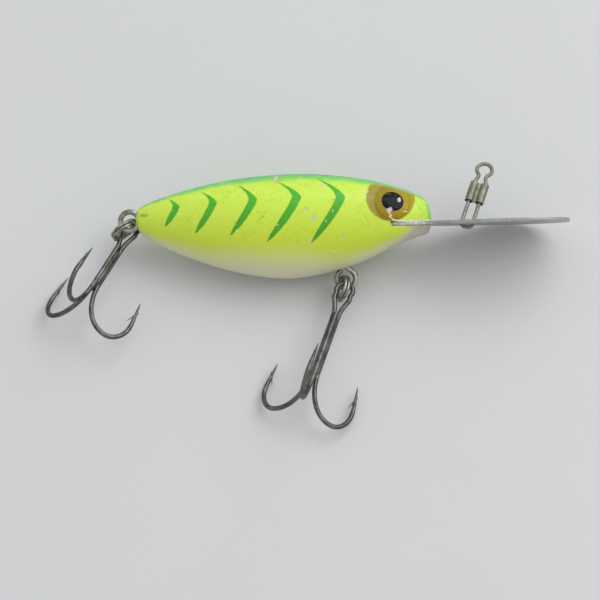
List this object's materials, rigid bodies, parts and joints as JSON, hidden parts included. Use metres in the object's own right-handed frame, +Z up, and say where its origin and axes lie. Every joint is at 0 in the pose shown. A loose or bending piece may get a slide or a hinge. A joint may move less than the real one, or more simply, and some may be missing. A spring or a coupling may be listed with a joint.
{
  "type": "crankbait lure",
  "caption": "Hollow two-shell diving lure with a flat metal lip, wire line link, split rings and two treble hooks, lying on its side.",
  "frame": {"origin": "on the surface the lure lies on, under the middle of its outline", "axes": "+X along the body towards the nose and the tip of the lip, +Y towards the back of the lure, +Z up from the surface"},
  "size_m": [0.1344, 0.071, 0.0266],
  "materials": {
    "shell": "gloss",
    "lip": "scratched satin",
    "link": "dull",
    "ring": "nickel plated",
    "hook": "dark bronzed",
    "ballast": "dull",
    "shot": "polished"
  },
  "bodies": {
    "body": {"body_right_half": "shell", "body_left_half": "shell", "diving_lip": "lip", "belly_screw_eye": "ring", "tail_screw_eye": "ring", "ballast_weight": "ballast"},
    "belly_ring": {"belly_split_ring": "ring"},
    "belly_hook": {"belly_hook_pair": "hook", "belly_hook_single": "hook"},
    "tail_ring": {"tail_split_ring": "ring"},
    "tail_hook": {"tail_hook_pair": "hook", "tail_hook_single": "hook"},
    "link": {"snap_wire": "link"},
    "sleeve": {"snap_sleeve": "link"},
    "ball_rear": {"rattle_ball_rear": "shot"},
    "ball_middle": {"rattle_ball_middle": "shot"},
    "ball_front": {"rattle_ball_front": "shot"}
  },
  "joints": [
    {"name": "belly_ring_swing", "type": "hinge", "parent": "body", "child": "belly_ring", "pos_m": [0.01001, 0.00519, 0.00592], "axis": [-0.0308, -0.4223, 0.906], "range_deg": [-45, 80]},
    {"name": "belly_hook_swing", "type": "hinge", "parent": "belly_ring", "child": "belly_hook", "pos_m": [0.00887, 0.00242, 0.00566], "axis": [-0.8966, 0.1646, 0.411], "range_deg": [-90, 24]},
    {"name": "tail_ring_swing", "type": "hinge", "parent": "body", "child": "tail_ring", "pos_m": [-0.04576, 0.0193, 0.0106], "axis": [-0.0308, -0.4223, 0.906], "range_deg": [-90, 4]},
    {"name": "tail_hook_swing", "type": "hinge", "parent": "tail_ring", "child": "tail_hook", "pos_m": [-0.04737, 0.01785, 0.00815], "axis": [-0.5565, 0.8277, 0.0719], "range_deg": [0, 60]},
    {"name": "link_swing", "type": "hinge", "parent": "body", "child": "link", "pos_m": [0.04099, 0.01782, 0.01287], "axis": [0.9992, 0.0099, 0.0386], "range_deg": [0, 54]},
    {"name": "sleeve_slide", "type": "slide", "parent": "link", "child": "sleeve", "axis": [0.309, 0.9508, -0.0215], "range_m": [-0.004, 0.001]},
    {"name": "ball_rear_slide", "type": "slide", "parent": "body", "child": "ball_rear", "axis": [-0.0308, -0.4223, 0.906], "range_m": [0, 0.0082]},
    {"name": "ball_middle_slide", "type": "slide", "parent": "body", "child": "ball_middle", "axis": [-0.0308, -0.4223, 0.906], "range_m": [0, 0.0112]},
    {"name": "ball_front_slide", "type": "slide", "parent": "body", "child": "ball_front", "axis": [-0.0308, -0.4223, 0.906], "range_m": [0, 0.011]}
  ]
}
